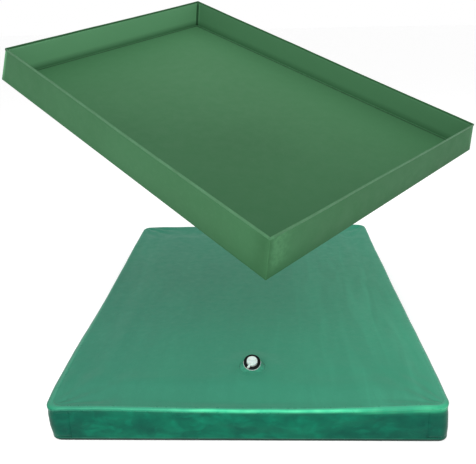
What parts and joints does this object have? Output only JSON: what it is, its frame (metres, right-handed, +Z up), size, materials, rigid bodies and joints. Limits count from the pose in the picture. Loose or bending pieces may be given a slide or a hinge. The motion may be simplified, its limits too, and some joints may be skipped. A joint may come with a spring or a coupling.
{
  "type": "water mattress with stand-up liner",
  "caption": "Water-filled vinyl mattress slab with a capped fill valve near its foot end, and an open, shallow vinyl liner tray held tilted above it.",
  "frame": {"origin": "on the floor, under the middle of the mattress", "axes": "+Z up, +Y from the foot end with the valve to the head end, +X to the right seen from the foot end"},
  "size_m": [2.5929, 2.704, 1.6582],
  "materials": {
    "mattress_vinyl": "satin",
    "seam_vinyl": "satin",
    "liner_vinyl": "matte",
    "liner_weld": "satin",
    "liner_hem": "satin",
    "water": "gloss",
    "valve_plastic": "gloss",
    "ring_rubber": "satin",
    "gasket_rubber": "matte"
  },
  "bodies": {
    "mattress": {"bottom_sheet": "mattress_vinyl", "top_sheet": "mattress_vinyl", "side_band": "mattress_vinyl", "top_seam": "seam_vinyl", "bottom_seam": "seam_vinyl", "water_fill": "water", "corner_patch_foot_left": "mattress_vinyl", "corner_patch_foot_right": "mattress_vinyl", "corner_patch_head_left": "mattress_vinyl", "corner_patch_head_right": "mattress_vinyl", "valve_patch": "mattress_vinyl", "valve_cone": "mattress_vinyl", "valve_body": "valve_plastic", "valve_ring": "ring_rubber"},
    "plug": {"valve_plug": "valve_plastic", "plug_loop": "valve_plastic"},
    "cap_seal": {"cap_gasket": "gasket_rubber"},
    "cap": {"valve_cap": "valve_plastic", "cap_tab": "valve_plastic"},
    "liner": {"liner_floor": "liner_vinyl", "liner_floor_weld": "liner_weld", "liner_wall_foot": "liner_vinyl", "liner_wall_head": "liner_vinyl", "liner_wall_left": "liner_vinyl", "liner_wall_right": "liner_vinyl", "liner_rim_hem_foot": "liner_hem", "liner_rim_hem_head": "liner_hem", "liner_rim_hem_left": "liner_hem", "liner_rim_hem_right": "liner_hem", "liner_corner_weld_foot_left": "liner_weld", "liner_corner_weld_foot_right": "liner_weld", "liner_corner_weld_head_left": "liner_weld", "liner_corner_weld_head_right": "liner_weld"}
  },
  "joints": [
    {"name": "liner_set_down", "type": "hinge", "parent": "mattress", "child": "liner", "pos_m": [0.3717, -1.7529, 0], "axis": [-0.9583, -0.2857, 0], "range_deg": [0, 20.6]},
    {"name": "cap_rise", "type": "slide", "parent": "mattress", "child": "cap_seal", "axis": [0, -0.454, 0.891], "range_m": [0, 0.0105]},
    {"name": "cap_turn", "type": "hinge", "parent": "cap_seal", "child": "cap", "pos_m": [0.017, -0.7995, 0.1945], "axis": [0, -0.454, 0.891], "range_deg": [0, 1080]},
    {"name": "plug_pull", "type": "slide", "parent": "mattress", "child": "plug", "axis": [0, -0.454, 0.891], "range_m": [0, 0.0075]}
  ],
  "couplings": [
    {"joint": "cap_rise", "follows": "cap_turn", "m_per_rad": 0.0005565},
    {"joint": "plug_pull", "follows": "cap_turn", "m_per_rad": 0.0003975}
  ]
}
